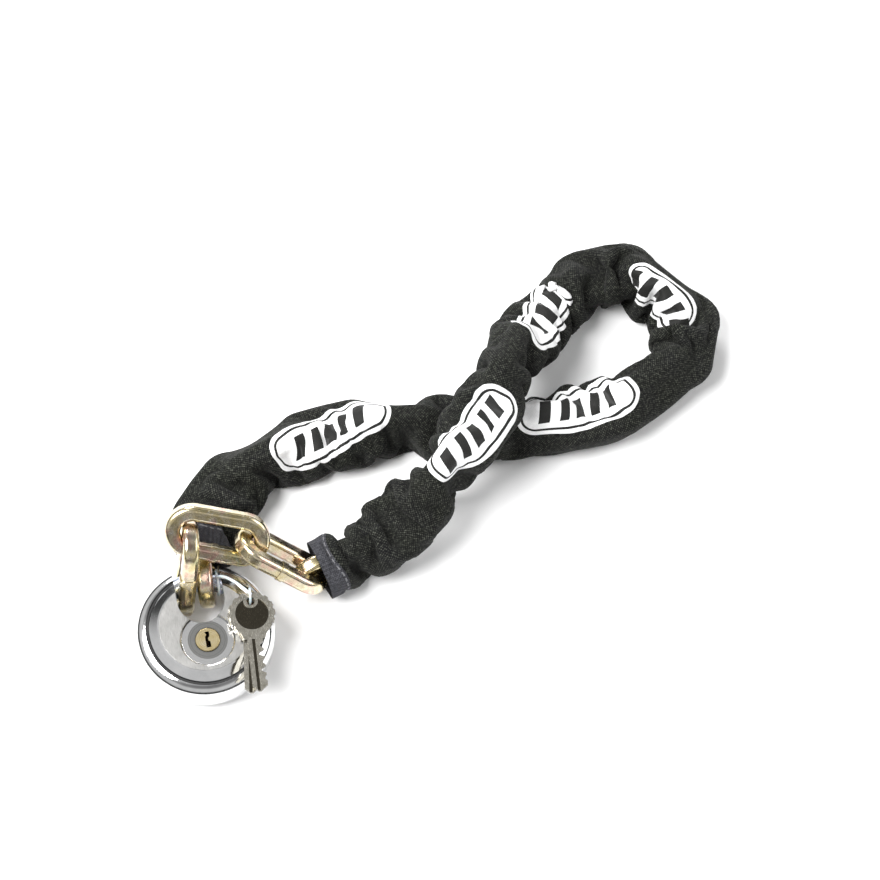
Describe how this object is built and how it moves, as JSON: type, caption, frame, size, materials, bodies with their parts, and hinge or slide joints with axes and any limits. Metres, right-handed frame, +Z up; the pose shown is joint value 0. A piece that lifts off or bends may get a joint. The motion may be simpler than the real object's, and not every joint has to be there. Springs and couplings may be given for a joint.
{
  "type": "chain lock",
  "caption": "Square-link security chain in a fabric sleeve, laid in a crossed loop, with both ends held by a round disc padlock; keys hang from its shackle on a plastic tie.",
  "frame": {"origin": "on the ground, under the middle of the whole object's box", "axes": "+X from the padlock to the far end of the loop, the longest extent; +Y across it, towards the strand that leaves the padlock first; +Z up, away from the ground"},
  "size_m": [0.3569, 0.1222, 0.0673],
  "materials": {
    "link_plating": "satin, zinc plated with a pale gold and faintly iridescent passivation",
    "sleeve_fabric": "matt woven nylon",
    "lock_steel": "brushed face with polished rim and bevel",
    "cast_block": "plain, hidden inside the lock",
    "lock_brass": "machined satin",
    "spring_steel": "drawn wire",
    "drive_steel": "stamped, oiled",
    "shackle_steel": "hardened satin steel with a blue-grey cast",
    "key_nickel": "nickel silver, lightly brushed",
    "tie_plastic": "translucent white"
  },
  "bodies": {
    "mid_chain": {"link_04": "link_plating", "link_05": "link_plating", "link_06": "link_plating", "link_07": "link_plating", "link_08": "link_plating", "link_14": "link_plating", "link_15": "link_plating", "link_16": "link_plating", "link_17": "link_plating", "link_18": "link_plating", "sleeve_mid_a": "sleeve_fabric", "sleeve_mid_b": "sleeve_fabric"},
    "near_chain": {"link_01": "link_plating", "link_02": "link_plating", "link_03": "link_plating", "link_19": "link_plating", "link_r": "link_plating", "link_l": "link_plating", "link_v": "link_plating", "sleeve_near_a": "sleeve_fabric", "sleeve_near_b": "sleeve_fabric"},
    "far_loop": {"link_09": "link_plating", "link_10": "link_plating", "link_11": "link_plating", "link_12": "link_plating", "link_13": "link_plating", "sleeve_far": "sleeve_fabric"},
    "padlock": {"front_shell": "lock_steel", "back_shell": "lock_steel", "lock_block": "cast_block", "cylinder_body": "lock_brass", "driver_pins": "lock_brass", "pin_springs": "spring_steel"},
    "cylinder_core": {"plug": "lock_brass", "key_pins": "lock_brass", "crank": "drive_steel", "crank_screw": "spring_steel"},
    "shackle_part": {"shackle": "shackle_steel", "shackle_carrier": "drive_steel"},
    "tie": {"key_tie": "tie_plastic"},
    "first_key": {"key_1": "key_nickel"},
    "second_key": {"key_2": "key_nickel"}
  },
  "joints": [
    {"name": "near_lift", "type": "hinge", "parent": "mid_chain", "child": "near_chain", "pos_m": [-0.04887, 0.0452, 0.016], "axis": [0.0749, 0.9972, 0], "range_deg": [0, 40]},
    {"name": "far_lift", "type": "hinge", "parent": "mid_chain", "child": "far_loop", "pos_m": [0.10994, -0.0466, 0.016], "axis": [0.146, -0.9893, 0], "range_deg": [0, 40]},
    {"name": "padlock_swing", "type": "hinge", "parent": "near_chain", "child": "padlock", "pos_m": [-0.12663, 0.00754, 0.01826], "axis": [-0.9088, 0.4087, 0.0841], "range_deg": [-40, 8]},
    {"name": "shackle_turn", "type": "hinge", "parent": "padlock", "child": "shackle_part", "pos_m": [-0.1434, -0.0148, 0.0163], "axis": [0.0395, -0.1165, 0.9924], "range_deg": [0, 72]},
    {"name": "plug_turn", "type": "hinge", "parent": "padlock", "child": "cylinder_core", "pos_m": [-0.1465, -0.02105, 0.01569], "axis": [0.0395, -0.1165, 0.9924], "range_deg": [0, 90]},
    {"name": "tie_swing", "type": "hinge", "parent": "padlock", "child": "tie", "pos_m": [-0.12251, 0.00379, 0.01765], "axis": [-0.8957, 0.4361, 0.0868], "range_deg": [0, 12]},
    {"name": "key_1_swing", "type": "hinge", "parent": "tie", "child": "first_key", "pos_m": [-0.11857, -0.02082, 0.03204], "axis": [0.0395, -0.1165, 0.9924], "range_deg": [-25, 25]},
    {"name": "key_2_swing", "type": "hinge", "parent": "tie", "child": "second_key", "pos_m": [-0.11857, -0.02082, 0.03204], "axis": [0.0395, -0.1165, 0.9924], "range_deg": [-25, 25]}
  ],
  "couplings": [
    {"joint": "plug_turn", "follows": "shackle_turn", "ratio": 1.25}
  ]
}
